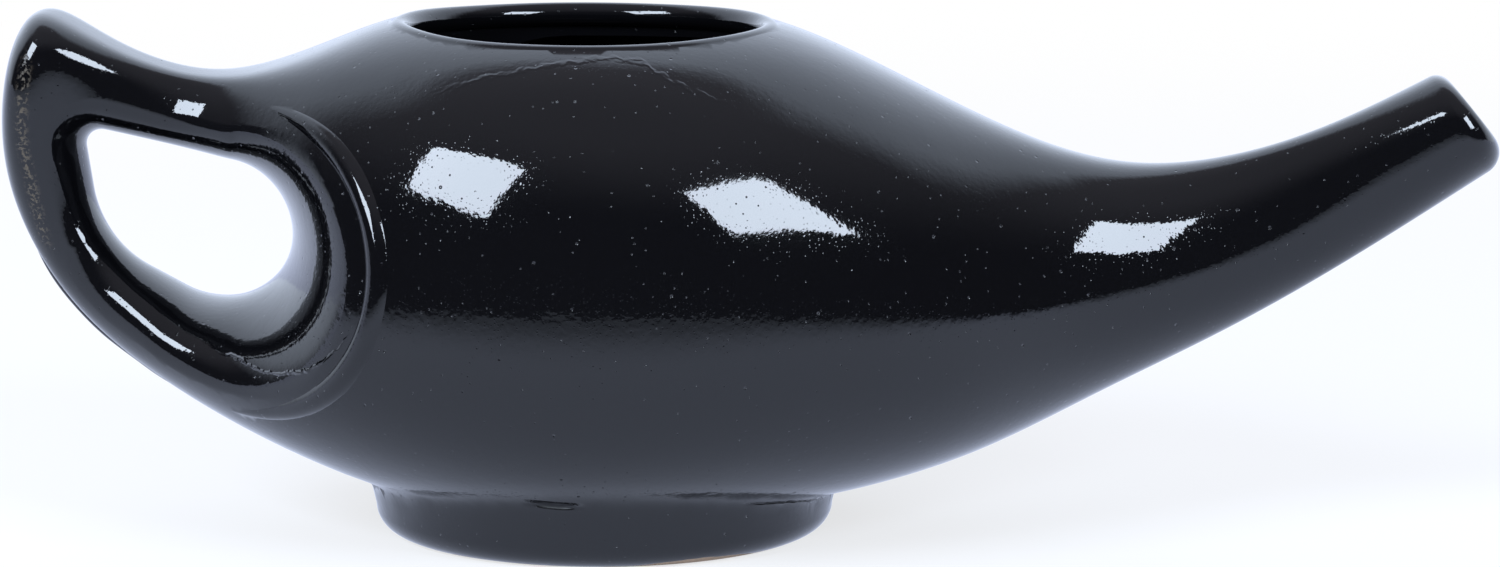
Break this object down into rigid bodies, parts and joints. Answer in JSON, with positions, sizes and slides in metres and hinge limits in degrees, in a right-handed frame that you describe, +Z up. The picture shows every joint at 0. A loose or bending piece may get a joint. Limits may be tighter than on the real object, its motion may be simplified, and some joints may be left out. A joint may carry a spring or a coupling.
{
  "type": "neti pot",
  "caption": "Glazed ceramic neti pot: an oval bowl with an open mouth on top, a long rising spout, a ring handle with a horn, and a low round foot.",
  "frame": {"origin": "on the ground, under the middle of the pot's length and width", "axes": "+X towards the spout, +Z up, and Y across the pot, which is alike on both sides of Y = 0; the picture looks along +Y"},
  "size_m": [0.1992, 0.0888, 0.0696],
  "materials": {
    "black_glaze": "high-gloss black glaze with a few pinholes, on a cast ceramic body"
  },
  "bodies": {
    "root": {"pot": "black_glaze"}
  },
  "joints": []
}
